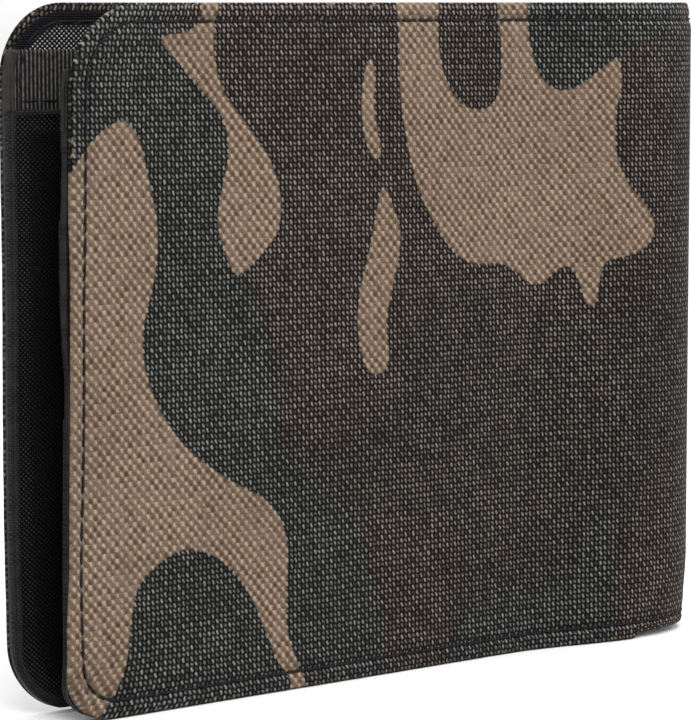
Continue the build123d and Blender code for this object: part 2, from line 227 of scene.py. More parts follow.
def sheet(name, plan, material, outer, inner, inset=0.0, high=np.inf, low=-np.inf, start=0.0, end=None,
          radius=CORNER, outline=(0.0, TOP), pitch=0.775, hole=None, shape=None, attrs=None):
    """A closed piece of cloth. Its outline is the cover's, inset, cut off at low and high, and outer
    and inner give the depth of its two faces at a distance from its own edges. hole is (u, u, z, z),
    shape moves the points, and attrs are fields over the cloth."""
    end = (plan.end if end is None else end) - inset
    o_low, o_high, o_radius = outline[0] + inset, outline[1] - inset, max(radius - inset, 0.01)
    low, high = max(low, o_low), min(high, o_high)
    ended = start > 0
    zs = high - steps(high - low, pitch)
    cs = steps(end - start, pitch, ended)
    if hole:
        zs = np.unique(np.concatenate([zs, hole[2:]]))[::-1]
        cs = np.unique(np.concatenate([cs, [end - hole[0], end - hole[1]]]))
    cut = corner_cut(zs, o_low, o_high, o_radius)
    reach = min(CORNER_FADE, (end - start) / 2)
    fade = np.clip((end - start - cs) / max(end - start - reach, 0.01), 0, 1)
    u = end - cs[None, :] - cut[:, None] * fade[None, :]
    z = np.repeat(zs[:, None], len(cs), 1)
    e = np.minimum(rim_distance(u, z, end, o_low, o_high, o_radius), np.minimum(high - z, z - low))
    if ended:
        e = np.minimum(e, u - start)
    e = np.maximum(e, 0)
    if hole:
        into = np.maximum(np.maximum(hole[0] - u, u - hole[1]), np.maximum(hole[2] - z, z - hole[3]))
        e = np.minimum(e, np.maximum(into, 0))
    ni, nj = u.shape
    faces_of = []
    for depth in (outer, inner):
        x, y = plan.at(u, depth(e, u, z))
        p = np.stack([x, y, z], -1)
        faces_of.append(shape(p, u, z) if shape else p)
    index_o = np.arange(ni * nj).reshape(ni, nj)
    index_i = index_o + ni * nj
    for s in (np.s_[0, :], np.s_[-1, :], np.s_[:, 0]) + ((np.s_[:, -1],) if ended else ()):
        index_i[s] = index_o[s]
        faces_of[1][s] = faces_of[0][s]
    keep = np.ones((ni - 1, nj - 1), bool)
    if hole:
        um, zm = (u[:-1, :-1] + u[1:, 1:]) / 2, (z[:-1, :-1] + z[1:, 1:]) / 2
        keep = ~((um > hole[0]) & (um < hole[1]) & (zm > hole[2]) & (zm < hole[3]))
        rim = np.zeros((ni, nj), int)
        for di in (0, 1):
            for dj in (0, 1):
                rim[di:ni - 1 + di, dj:nj - 1 + dj] += keep
        on_hole = (rim < 4) & (rim > 0)
        on_hole[[0, -1], :] = False
        on_hole[:, [0, -1]] = False
        index_i[on_hole] = index_o[on_hole]
        faces_of[1][on_hole] = faces_of[0][on_hole]
    faces = []
    for i, j in zip(*np.nonzero(keep)):
        q = (index_o[i, j], index_o[i, j + 1], index_o[i + 1, j + 1], index_o[i + 1, j])
        r = (index_i[i, j], index_i[i + 1, j], index_i[i + 1, j + 1], index_i[i, j + 1])
        faces.append(tuple(int(v) for v in q))
        if set(r) != set(q):
            faces.append(tuple(int(v) for v in r))
    sharp = None
    if not ended:
        for i in range(ni - 1):
            ring = [index_o[i, -1], index_o[i + 1, -1], index_i[i + 1, -1], index_i[i, -1]]
            ring = [int(v) for k, v in enumerate(ring) if v not in ring[:k]]
            if len(ring) > 2:
                faces.append(tuple(reversed(ring)))
        sharp = np.unique(np.concatenate([index_o[:, -1], index_i[:, -1]]))
    verts = np.concatenate([f.reshape(-1, 3) for f in faces_of])
    cloth_x = MID_CLOTH - u * (1 if plan is FRONT else -1)
    cloth = np.stack([cloth_x, z, e], -1).reshape(-1, 3)
    data = {"cloth": np.concatenate([cloth, cloth]) * MM}
    for key, field in (attrs or {}).items():
        v = field(u, z, e).reshape(-1)
        data[key] = np.concatenate([v, v])
    used = np.unique(np.concatenate([np.array(f) for f in faces]))
    remap = np.full(len(verts), -1)
    remap[used] = np.arange(len(used))
    faces = [tuple(int(remap[v]) for v in f) for f in faces]
    data = {key: v[used] for key, v in data.items()}
    if sharp is not None:
        sharp = remap[sharp]
        sharp = sharp[sharp >= 0]
    return make(name, verts[used], faces, material, data, sharp)


def join(parts):
    verts, faces, count = [], [], 0
    for v, f in parts:
        verts.append(v)
        faces += [tuple(i + count for i in face) for face in f]
        count += len(v)
    return np.concatenate(verts), faces


def loft(rings):
    """A closed tube through rings of points, with both ends filled."""
    n, m = rings.shape[:2]
    faces = [(i * m + j, i * m + (j + 1) % m, (i + 1) * m + (j + 1) % m, (i + 1) * m + j)
             for i in range(n - 1) for j in range(m)]
    faces += [tuple(reversed(range(m))), tuple((n - 1) * m + j for j in range(m))]
    return rings.reshape(-1, 3), faces


def tube_set(centres, sideways, outward, radius, flat=1.0, sides=6):
    """Closed tubes along rows of points: centres and the two cross directions are (tubes, points, 3)."""
    a = np.arange(sides) * 2 * np.pi / sides
    r = np.broadcast_to(radius, centres.shape[:2])[:, :, None, None]
    tubes = (centres[:, :, None]
             + sideways[:, :, None] * (np.cos(a)[None, None, :, None] * r)
             + outward[:, :, None] * (np.sin(a)[None, None, :, None] * r * flat))
    return join([loft(tube) for tube in tubes])


def stitches(path, length, pitch=STITCH_PITCH, radius=0.17, rise=0.1, dip=0.3):
    """Separate stitches along path(t) -> (points, outward directions): each rises and dives in again."""
    gap, rows = 0.06, 9
    count = max(1, int(length / pitch))
    pitch = length / count
    f = np.linspace(0, 1, rows)
    t = (np.arange(count)[:, None] + gap / 2 + f[None] * (1 - gap)) * pitch
    p, out = path(t.ravel())
    ahead, _ = path(t.ravel() + 0.02)
    along = ahead - p
    along /= np.linalg.norm(along, axis=1)[:, None]
    side = np.cross(along, out)
    middle = 2 * f - 1
    lift = rise * (1 - middle**4) - dip * middle**8
    p = p.reshape(count, rows, 3) + out.reshape(count, rows, 3) * lift[None, :, None]
    taper = np.broadcast_to(radius * (1 - 0.35 * middle**6), (count, rows))
    return tube_set(p, side.reshape(count, rows, 3), out.reshape(count, rows, 3), taper, 0.8)


def surface(plan, u, z, depth):
    """Points at a depth below the cover's surface, and the outward directions there."""
    x, y = plan.at(u, depth)
    nx, ny = plan.out(u)
    return np.stack([x, y, z], -1), np.stack([nx, ny, 0 * nx], -1)


def wander(z):
    """How far the seam strays towards the free edge."""
    return (0.2 * below(z, 64, 8) + 0.42 * bell(z - 21, 9)) * above(z, 3, 6)


def seam_knots(plan):
    """Where the perimeter seam's straight stretches and corners begin and end, along its length."""
    top = plan.end - STITCH_INSET - SEAM_RADIUS - SEAM_START
    corner = SEAM_RADIUS * np.pi / 2
    side = TOP - 2 * STITCH_INSET - 2 * SEAM_RADIUS
    return np.cumsum([0, top, corner, side, corner, top])


def seam_line(plan, depth, inward=False):
    """The perimeter seam: along the top from the fold, down the free edge, and back along the bottom."""
    knots, r = seam_knots(plan), SEAM_RADIUS

    def path(t):
        a = np.clip((t - knots[1]) / r, 0, np.pi / 2)
        b = np.clip((t - knots[3]) / r, 0, np.pi / 2)
        u = SEAM_START + np.clip(t, 0, knots[1]) - np.maximum(t - knots[4], 0)
        u += r * np.sin(a) - r * (1 - np.cos(b))
        z = TOP - STITCH_INSET - np.clip(t - knots[2], 0, knots[3] - knots[2])
        z -= r * (1 - np.cos(a)) + r * np.sin(b)
        u += wander(z) * (u > plan.end - CORNER - 1)
        p, out = surface(plan, u, z, depth(u, z) if callable(depth) else depth)
        return warp(p, u, z, plan), -out if inward else out

    return path, knots[5]


def row_line(plan, u0, direction, z0, depth, shape):
    """A straight row of sewing on a leaf's inner side, from u0 towards the free edge or the fold."""
    def path(t):
        u = u0 + direction * t
        z = np.full_like(u, z0)
        p, out = surface(plan, u, z, depth)
        return shape(p, u, z), -out
    return path


def seam_phase(u, z, plan):
    """The length along the perimeter seam that is nearest to a cloth point."""
    knots, r = seam_knots(plan), SEAM_RADIUS
    tiny = 1e-6
    past, over, under = u - (plan.end - CORNER), z - (TOP - CORNER), CORNER - z
    upper = knots[1] + r * np.arctan2(np.maximum(past, 0), np.maximum(over, tiny))
    side = knots[2] - over
    lower = knots[3] + r * np.arctan2(np.maximum(under, tiny), np.maximum(past, tiny))
    bottom = knots[5] - (u - SEAM_START)
    return np.select(
        [(past <= 0) & (z > TOP / 2), (past > 0) & (over > 0), (past > 0) & (under > 0), past > 0],
        [u - SEAM_START, upper, lower, side], bottom)


# ---------------------------------------------------------------- the shape of the whole cloth (mm)
LEAN_LOW, LEAN_RISE = -0.20, 0.90  # the front's free edge, at the bottom, and how much more at the top
BACK_LEAN = 0.45  # the back's free edge, near the bottom
BOW = 0.42  # how far the front's free edge bends inwards at half height
FRONT_CURL_LOW, FRONT_CURL_HIGH = 0.9, 0.25  # the front's corners curl towards the back leaf
BACK_CURL, BACK_LIFT = 0.4, 0.4  # the back's lower corner curls towards the front leaf, and up
PINCH_LOW, PINCH_HIGH = 0.65, 0.55  # the fold is thinner at its ends
TUCK = 0.56  # how much shorter the front's inner layers are below the slots' hem


def bow(h):
    return BOW * above(h, 12, 9) * below(h, 70, 12)


def edge_shift(u, h, plan):
    """How far a leaf point moves along X: the free edge leans and its corners are a little rounder."""
    if plan is BACK:
        return BACK_LEAN * below(h, 28, 24) * plan.near_edge(u, 26)
    lean = LEAN_LOW + LEAN_RISE * above(h, 2, 80)
    cut = corner_cut(h, 0.0, TOP, CORNER)
    radius = np.where(h > TOP / 2, ROUND_CORNER, TIGHT_CORNER)
    rounder = (corner_cut(h, 0.0, TOP, radius) - cut) * plan.near_edge(u + cut, 22)
    return lean * plan.near_edge(u, 26) + bow(h) * plan.near_edge(u, 3) + rounder


def warp(p, u, z, plan):
    """Soft departures from the flat leaf, shared by every layer on it, so they stay together."""
    x, y, h = p[..., 0].copy(), p[..., 1].copy(), p[..., 2].copy()
    x += edge_shift(u, h, plan)
    corner = below(h, 9, 9) * plan.near_edge(u, 12)
    if plan is FRONT:
        y += FRONT_CURL_LOW * corner
        y += FRONT_CURL_HIGH * above(h, TOP - 9, 9) * plan.near_edge(u, 12)
    else:
        y -= BACK_CURL * corner
        h += BACK_LIFT * below(h, 9, 9) * plan.near_edge(u, 30)
    pinch = PINCH_LOW * below(h, 12, 12) + PINCH_HIGH * above(h, TOP - 6, 6) ** 2
    pinch = pinch * below(u, 30, 18)
    nx, ny = plan.out(u)
    x -= nx * pinch
    y -= ny * pinch
    wave = 0.10 * np.sin(h / 13.0 + 0.7) * np.sin(u / 17.0 + 1.1) + 0.06 * np.sin(h / 6.1 + u / 9.3)
    y += wave * above(u, 14, 20) * plan.side
    # the lower hem steps up where it goes round the fold
    step = HEM_STEP * smooth((plan.u(HEM_STEP_X) - u) / 0.8 + 0.5)
    return np.stack([x, y, h + step * below(h, 2.2, 2.2)], -1)


def tuck(p, u, z):
    """The front leaf's inner layers don't bow, and stop a little short of the edge below the slots' hem."""
    p = warp(p, u, z, FRONT)
    p[..., 0] += (TUCK * below(z, 52, 8) - bow(z)) * FRONT.near_edge(u, 3)
    return p


def cover_outer(plan):
    """The outer side: a rolled rim, then a groove that the seam pulls in stitch by stitch."""
    def depth(e, u, z):
        roll = np.where(e < RIM, RIM - RIM * half_round(1 - e / RIM), 0)
        t = seam_phase(u, z, plan)
        bite = 0.62 + 0.38 * np.cos(2 * np.pi * t / STITCH_PITCH)
        groove = 0.30 * bell(e - STITCH_INSET + wander(z), 0.42) * bite
        puff = -0.10 * bell(e - 1.3, 0.6) - 0.06 * bell(e - 4.2, 1.0)
        ripple = 0.05 * np.sin(2 * np.pi * t / 7.3) * bell(e - 1.0, 0.9)
        return roll + groove + puff + ripple * (e > 0)
    return depth


def cover_inner(e, u, z):
    """The inner side: the hem turned over the lining's edge, then the cloth alone."""
    hem, cloth = 2 * RIM, 0.6
    wrap = RIM + RIM * half_round(1 - np.minimum(e, RIM) / RIM)
    return np.where(e < 1.5, wrap, wrap - (hem - cloth) * above(e, 1.5, 0.3))


# ---------------------------------------------------------------- camouflage print (mm on the cloth)
def closed_curve(points, n=8):
    """A smooth closed Catmull-Rom curve through a few points."""
    p = np.array(points, float)
    f = np.linspace(0, 1, n, endpoint=False)[:, None]
    out = []
    for i in range(len(p)):
        a, b, c, d = p[i - 1], p[i], p[(i + 1) % len(p)], p[(i + 2) % len(p)]
        out.append(0.5 * (2 * b + (c - a) * f + (2 * a - 5 * b + 4 * c - d) * f**2
                          + (3 * b - a - 3 * c + d) * f**3))
    return np.concatenate(out)


def signed_distance(x, z, curve):
    """Distance in mm to a closed curve, positive inside."""
    shape = x.shape
    q = np.stack([x.ravel(), z.ravel()], -1)
    a, b = curve, np.roll(curve, -1, 0)
    best = np.full(len(q), 1e9)
    inside = np.zeros(len(q), bool)
    for p0, p1 in zip(a, b):
        d = p1 - p0
        t = np.clip(((q - p0) @ d) / max(d @ d, 1e-12), 0, 1)
        best = np.minimum(best, np.hypot(q[:, 0] - p0[0] - t * d[0], q[:, 1] - p0[1] - t * d[1]))
        cross = (p0[1] > q[:, 1]) != (p1[1] > q[:, 1])
        if abs(d[1]) > 1e-12:
            inside ^= cross & (q[:, 0] < p0[0] + (q[:, 1] - p0[1]) * d[0] / d[1])
    return np.where(inside, best, -best).reshape(shape)


TAN = [
    [(-49.4, 79.7), (-47.4, 78.3), (-45.9, 75.4), (-44.6, 70.6), (-43.5, 65.8), (-43.7, 60.2),
     (-45.0, 55.4), (-46.1, 51.0), (-45.6, 46.4), (-43.4, 41.3), (-39.4, 36.2), (-34.6, 32.5),
     (-29.8, 29.7), (-25.4, 27.5), (-22.3, 24.5), (-20.9, 20.3), (-20.9, 15.0), (-20.9, 9.0),
     (-19.4, 4.6), (-17.6, 0.6), (-16.6, -4), (-21.5, -4), (-20.3, 1.2), (-22.7, 4.6), (-25.0, 9.4),
     (-27.6, 14.2), (-31.2, 18.4), (-35.6, 21.0), (-39.6, 21.7), (-43.8, 20.2), (-47.2, 17.4),
     (-48.5, 12.6), (-49.3, 7.4), (-51.4, 3.2), (-54.0, 0.2), (-58, -5), (-68, -4), (-68, 60),
     (-63, 69), (-58.6, 72.0), (-56.4, 74.9), (-53.0, 78.1)],
    [(-32.8, 99), (-32.9, 95), (-33.8, 91.2), (-33.5, 87.0), (-31.8, 82.9), (-27.6, 78.2),
     (-24.0, 73.9), (-22.1, 69.0), (-22.5, 64.2), (-25.2, 61.3), (-29.4, 58.4), (-31.6, 61.0),
     (-33.1, 65.6), (-32.3, 70.2), (-31.1, 75.0), (-32.2, 79.6), (-36.0, 83.6), (-39.6, 87.0),
     (-42.9, 90.4), (-38.6, 91.2), (-36.0, 93.2), (-36.2, 99)],
    [(-5.4, 87.5), (-4.6, 85.0), (-4.8, 81.0), (-4.2, 77.4), (-3.5, 74.4), (-4.3, 73.2),
     (-5.8, 74.8), (-6.9, 78.0), (-7.1, 82.0), (-6.4, 85.8)],
    [(-3.1, 69.4), (-1.4, 67.0), (0.1, 63.4), (-0.1, 59.6), (-1.4, 55.0), (-2.5, 50.4),
     (-2.1, 45.4), (-3.0, 43.4), (-5.2, 43.3), (-6.9, 45.4), (-7.9, 50.4), (-7.3, 55.4),
     (-5.7, 60.4), (-4.3, 66.0)],
    [(-0.1, 99), (-0.1, 91), (0.1, 84.0), (1.0, 77.6), (3.4, 69.6), (7.2, 63.4), (11.2, 59.2),
     (15.0, 57.8), (19.4, 57.6), (23.0, 56.2), (25.6, 54.4), (28.0, 54.4), (30.4, 56.2),
     (33.0, 56.4), (34.4, 54.0), (35.6, 51.0), (37.2, 51.0), (37.7, 54.0), (38.9, 57.0),
     (43.6, 58.0), (46.9, 59.6), (47.9, 62.2), (46.0, 65.2), (42.4, 68.8), (40.5, 73.0),
     (40.3, 78.6), (41.3, 83.0), (40.6, 86.9), (37.6, 85.2), (33.6, 82.8), (30.2, 82.5),
     (27.5, 84.5), (25.6, 88.8), (24.8, 94.0), (24.6, 99), (19.0, 99), (19.1, 94.0),
     (19.9, 87.4), (19.1, 81.6), (15.6, 79.8), (11.4, 81.2), (8.6, 85.0), (7.4, 90.0), (7.0, 99)],
]
GREEN = [
    [(-70, 102), (-43.6, 102), (-43.0, 95.0), (-42.2, 90.0), (-36, 84), (-30.4, 78), (-29.0, 70),
     (-29.8, 60), (-28.4, 56.8), (-25.2, 52.2), (-23.4, 46.0), (-22.9, 40.0), (-22.0, 34.4),
     (-18.0, 29.4), (-12.0, 26.0), (-7.8, 22.0), (-5.8, 16.6), (-3.9, 11.0), (-3.3, 5.0),
     (-3.4, -6), (-30, -8), (-70, -8)],
    [(24, 102), (25, 92), (28, 83), (32, 81), (37, 83.6), (41.0, 87.6), (46.0, 90.4), (52, 92),
     (55, 102)],
    [(8, -5), (9.6, 2.4), (14, 7.2), (20, 9.0), (27, 9.6), (33, 12.0), (36.6, 18.2), (39.6, 20.4),
     (40.8, 14.0), (40.0, 7.0), (38.0, -5)],
]
BROWN = [
    [(6, 102), (7.0, 90.0), (8.4, 85.0), (11.2, 80.8), (15.6, 79.2), (19.6, 81.4), (20.4, 90), (20, 102)],
    [(-34, 102), (-36, 92), (-33, 84), (-24, 76), (-20, 66), (-26, 58), (-22, 50), (-21, 38), (-12, 33),
     (-4, 38), (2, 48), (12, 55), (24, 52), (36, 48), (50, 54), (54, 66), (50, 84), (44, 92), (47, 102)],
    [(-3, -8), (-3.4, 8), (-7, 18), (-2, 24), (8, 20), (12, 12), (6, -8)],
    [(42, -8), (42, 12), (48, 26), (58, 28), (66, 20), (68, -8)],
]


PRINT_SHIFT = -0.1, 0.12  # where the print sits on the cloth
DARK_RIM = 5.0, 1.6, 16.0  # the back's unprinted rim: its width, how far it wavers, and more near the top


def print_field(shapes, dark_rim=False):
    """The signed distance to the printed shapes. The same print comes round again, turned, on the back."""
    curves = []
    for points in shapes:
        c = closed_curve(points)
        curves += [c, np.array([2 * MID_CLOTH, TOP]) - c]

    def field(plan):
        def value(u, z, e):
            x = MID_CLOTH - u
            on_leaf = np.interp(u, plan.s, plan.x) + edge_shift(u, z, plan) + PRINT_SHIFT[0]
            x += (on_leaf - x) * above(u, ARC_LENGTH, 8)
            if plan is BACK:
                x = 2 * MID_CLOTH - x
            d = np.max([signed_distance(x, z + PRINT_SHIFT[1], c) for c in curves], 0)
            if dark_rim and plan is BACK:
                width, waver, more = DARK_RIM
                d = np.minimum(d, plan.end - u - width - waver * np.sin(z / 9.0) - more * above(z, 66, 18))
            return d
        return value
    return field


# ---------------------------------------------------------------- materials (metres)
class Value:
    """A number in a shader, written with the usual operators."""

    def __init__(self, nodes, socket):
        self.nodes, self.socket = nodes, socket

    def __rsub__(self, other):
        return self.nodes.math("SUBTRACT", other, self)

    def __abs__(self):
        return self.nodes.math("ABSOLUTE", self)

    def clamped(self):
        self.socket.node.use_clamp = True
        return self


OPERATORS = {"add": "ADD", "sub": "SUBTRACT", "mul": "MULTIPLY", "truediv": "DIVIDE", "pow": "POWER"}
for sign, op in OPERATORS.items():
    setattr(Value, f"__{sign}__", lambda self, other, op=op: self.nodes.math(op, self, other))


class Nodes:
    """A material and a short way to write its shader nodes."""

    def __init__(self, name, **values):
        self.material = bpy.data.materials.new(name)
        self.material.use_nodes = True
        self.tree = self.material.node_tree
        self.shader = self.tree.nodes["Principled BSDF"]
        for key, value in values.items():
            self.shader.inputs[key.replace("_", " ")].default_value = value

    def add(self, kind, *links, **props):
        node = self.tree.nodes.new(kind)
        for key, value in props.items():
            setattr(node, key, value)
        for i, value in enumerate(links):
            self.put(node.inputs[i], value)
        return node

    def put(self, socket, value):
        if value is None:
            return
        if isinstance(value, Value):
            value = value.socket
        if isinstance(value, bpy.types.NodeSocket):
            self.tree.links.new(value, socket)
        elif hasattr(value, "__len__") and len(value) == 3 and socket.type == "RGBA":
            socket.default_value = (*value, 1)
        else:
            socket.default_value = value

    def math(self, op, a, b=None):
        return Value(self, self.add("ShaderNodeMath", a, b, operation=op).outputs[0])

    def sine(self, x, period):
        return self.math("SINE", x * (2 * math.pi / period))

    def step(self, x, low, high, out_low=0.0, out_high=1.0):
        node = self.add("ShaderNodeMapRange", x, low, high, out_low, out_high,
                        interpolation_type="SMOOTHSTEP")
        return Value(self, node.outputs[0])

    def mix(self, f, a, b):
        node = self.add("ShaderNodeMix", data_type="RGBA")
        for index, value in ((0, f), (6, a), (7, b)):
            self.put(node.inputs[index], value)
        return node.outputs[2]

    def noise(self, vector, scale, detail=2.0, rough=0.5, output=0):
        node = self.add("ShaderNodeTexNoise", vector)
        for key, value in (("Scale", scale), ("Detail", detail), ("Roughness", rough)):
            node.inputs[key].default_value = value
        return Value(self, node.outputs[output])

    def cloth(self):
        """The point on the flat cloth: along it, up it, and the distance from its edge."""
        return self.add("ShaderNodeAttribute", attribute_name="cloth").outputs["Vector"]

    def number(self, name):
        return Value(self, self.add("ShaderNodeAttribute", attribute_name=name).outputs["Fac"])

    def split(self, vector):
        return [Value(self, out) for out in self.add("ShaderNodeSeparateXYZ", vector).outputs[:3]]

    def vector(self, op, a, b):
        return self.add("ShaderNodeVectorMath", a, b, operation=op).outputs[0]

    def place(self):
        return self.add("ShaderNodeTexCoord").outputs["Object"]

    def finish(self, colour, height=None, distance=0.0, strength=1.0, roughness=None):
        """Links the colour, a bump of this height, and the roughness, and gives the material."""
        self.put(self.shader.inputs["Base Color"], colour)
        self.put(self.shader.inputs["Roughness"], roughness)
        if height is not None:
            bump = self.add("ShaderNodeBump")
            self.put(bump.inputs["Height"], height)
            bump.inputs["Distance"].default_value = distance
            bump.inputs["Strength"].default_value = strength
            self.put(self.shader.inputs["Normal"], bump.outputs[0])
        return self.material


def yarns(n, u, v, pitch_u, pitch_v):
    """Sines that change sign from each upright yarn, and from each crossing yarn, to the next."""
    return n.sine(u, 2 * pitch_u * MM), n.sine(v, 2 * pitch_v * MM)


def crossings(n, sine_u, sine_v):
    """A plain weave: its checker pattern, 1 where the upright yarn is on top, and the crowns' height."""
    s = sine_u * sine_v
    return s, n.step(s, -0.12, 0.12), abs(s) ** 0.7


BLACK = (0.0, 0.0, 0.0)
INKS_AND_PAINTED_LIGHT = {  # the colour between the yarns' crowns, where the print doesn't reach, darkened as painted shade; and on the crowns, the ink lifted as a painted highlight
    "brown": ((0.0040, 0.0026, 0.0020), (0.316, 0.269, 0.238)),
    "green": ((0.0026, 0.0027, 0.0024), (0.278, 0.280, 0.261)),
    "black": ((0.0030, 0.0024, 0.0020), (0.288, 0.250, 0.222)),
    "tan": ((0.072, 0.044, 0.026), (0.472, 0.356, 0.262)),
}
ROSY, NEEDLE_HOLE, WORN_CORE = (0.25, 0.165, 0.135), (0.52, 0.49, 0.44), (0.34, 0.27, 0.18)
# painted shade of the thread in the seam's groove, with dust
SEAM_SHADOW_AND_DUST = (0.010, 0.007, 0.010)


def camo_material():
    n = Nodes("camo_cloth", Roughness=0.75, Sheen_Weight=0.01, Sheen_Roughness=0.5, Specular_IOR_Level=0.06)
    cloth = n.cloth()
    # the yarns waver
    wobble = n.vector("SUBTRACT", n.noise(cloth, 420.0, 1.5, output="Color"), (0.5, 0.5, 0.5))
    wobble = n.vector("MULTIPLY", wobble, (0.40 * MM, 0.40 * MM, 0))
    u, v, e = n.split(n.vector("ADD", cloth, wobble))
    s, over, height = crossings(n, *yarns(n, u, v, WARP_PITCH, WEFT_PITCH))
    # every yarn leans a little where it crosses another
    lean_u = n.sine(v, WEFT_PITCH * MM) * (-0.062 * MM)
    lean_v = n.sine(u, WARP_PITCH * MM) * (-0.045 * MM)
    au, av = (abs(y) for y in yarns(n, u + lean_u, v + lean_v, WARP_PITCH, WEFT_PITCH))
    # each crossing of yarns differs a little
    cell = (n.math("FLOOR", u / (WARP_PITCH * MM)), n.math("FLOOR", v / (WEFT_PITCH * MM)), 0.0)
    cell = n.add("ShaderNodeCombineXYZ", *cell).outputs[0]
    cell = n.add("ShaderNodeTexWhiteNoise", cell, noise_dimensions="3D").outputs[1]
    rand_a, rand_b, rand_c = n.split(cell)
    fleck = n.noise(cloth, 1500.0, 2.0, 0.6)
    # painted highlights: an upright dash on each upright yarn, and a fainter flat one on each crossing yarn,
    # stand in for light catching the crowns
    upright = au ** 4.6 * av ** 1.2 * over * (rand_a * 0.62 + 0.82)
    level = au ** 1.8 * av ** 3.6 * (1.0 - over) * (rand_b * 0.50 + 0.15)
    painted_glint = upright + level + au ** 1.5 * 0.028
    # yarns are thicker and thinner along their length
    slub = (n.noise(n.vector("MULTIPLY", cloth, (1300.0, 160.0, 0)), 1.0, 1.0)
            + n.noise(n.vector("MULTIPLY", cloth, (160.0, 1300.0, 0)), 1.0, 1.0)) * 0.5
    slub = n.step(slub, 0.38, 0.62, 0.70, 1.30) * n.step(n.noise(cloth, 28.0), 0.35, 0.65, 0.86, 1.10)
    # painted light: the highlights are half again as bright along the top hem, which the light from above
    # falls on most
    slub = slub * n.step(v, 90.5 * MM, 94.5 * MM, 1.0, 1.5)
    painted_glint = (painted_glint * slub * n.step(fleck, 0.3, 0.7, 0.6, 1.25)).clamped()
    # the tan print hides the yarns more, though its crowns carry the painted highlights too; the two
    # diagonals of its weave aren't equally strong
    pu, pv = u * (math.pi / (WARP_PITCH * MM)), v * (math.pi / (WEFT_PITCH * MM))
    diagonal = n.math("COSINE", pu + pv)
    soft = s * 0.22 + diagonal * -0.08 + ((upright + level * 0.5) * 0.50 + 0.33) + (rand_c - 0.5) * 0.22
    soft = soft * n.step(fleck, 0.3, 0.7, 0.84, 1.15)
    soft = (soft * n.step(n.noise(cloth, 3200.0, 2.0, 0.7), 0.34, 0.66, 0.70, 1.30)).clamped()

    def inside(name, blur=0.22):
        return n.step(n.number(name) + s * 0.10, -blur, blur)

    tan = n.mix(n.step(n.noise(cloth, 150.0), 0.55, 0.75, 0.0, 0.35), n.mix(soft, *INKS_AND_PAINTED_LIGHT["tan"]), ROSY)
    colour = n.mix(inside("brown", 0.6), n.mix(painted_glint, *INKS_AND_PAINTED_LIGHT["black"]), n.mix(painted_glint, *INKS_AND_PAINTED_LIGHT["brown"]))
    colour = n.mix(inside("green"), colour, n.mix(painted_glint, *INKS_AND_PAINTED_LIGHT["green"]))
    colour = n.mix(inside("tan"), colour, tan)
    colour = n.mix(n.step(n.noise(cloth, 45.0, 3.0, 0.55), 0.35, 0.65, 0.0, 0.10), colour, BLACK)
    # painted shade and dust darken the seam's groove, with light specks where the needle went in
    phase = abs(n.math("FRACT", n.number("seam") / STITCH_PITCH) - 0.5)
    line = abs(n.number("line"))
    colour = n.mix(n.step(line, 0.34, 0.14) * 0.55, colour, SEAM_SHADOW_AND_DUST)
    hole = n.step(phase, 0.44, 0.5) * n.step(line, 0.40, 0.12)
    colour = n.mix(hole * n.step(n.noise(cloth, 240.0, 1.0), 0.50, 0.60), colour, NEEDLE_HOLE)
    # the pale core shows where the rim is worn; along the back's free edge the rim is darkened
    worn = n.step(e, 1.1 * MM, 0.1 * MM) * n.step(n.noise(cloth, 900.0, 3.0, 0.7), 0.56, 0.70)
    colour = n.mix(worn * 0.6, colour, WORN_CORE)
    darker_back_rim = n.step(u, 150 * MM, 160 * MM) * n.step(e, 1.8 * MM, 0.6 * MM)
    colour = n.mix(darker_back_rim * 0.42, colour, BLACK)
    return n.finish(colour, height + over * 0.35 + fleck * 0.35, 0.10 * MM, 0.6)


def lining_material(name, crown_glint, seam):
    """Fine black nylon with a painted highlight dot on each crown; seam is the smooth band where it is sewn
    down.
    """
    n = Nodes(name, Roughness=0.45, Sheen_Weight=0.02, Sheen_Roughness=0.4, Specular_IOR_Level=0.10)
    cloth = n.cloth()
    u, v, e = n.split(cloth)
    sine_u, sine_v = yarns(n, u, v, 0.40, 0.33)
    _, over, height = crossings(n, sine_u, sine_v)
    fleck = n.step(n.noise(cloth, 1100.0, 2.0, 0.6), 0.3, 0.7, 0.55, 1.2)
    fleck = fleck * n.step(n.noise(cloth, 60.0, 3.0), 0.3, 0.7, 0.75, 1.25)
    crown = (over * abs(sine_u) ** 1.6 * abs(sine_v) ** 1.6 * fleck).clamped()
    if seam:
        colour = n.mix(crown, (0.0012, 0.0012, 0.0016), crown_glint)
        colour = n.mix(n.step(e, seam * 1.25 * MM, seam * 0.85 * MM), colour, (0.0030, 0.0030, 0.0052))
    else:
        # painted shade: the dots are dimmer away from the edge, deeper inside the leaf; the rolled rim is
        # rubbed grey
        dots_shaded_inward = n.mix(n.step(e, 3.6 * MM, 2.2 * MM), (0.020, 0.020, 0.022), crown_glint)
        colour = n.mix(crown, (0.0010, 0.0010, 0.0013), dots_shaded_inward)
        rolled = n.step(e, 1.0 * MM, 0.5 * MM) * n.step(n.noise(cloth, 500.0), 0.3, 0.7, 0.3, 1.0)
        colour = n.mix(rolled, colour, (0.024, 0.023, 0.023))
    return n.finish(colour, height + over * 0.4, 0.07 * MM, 0.8)


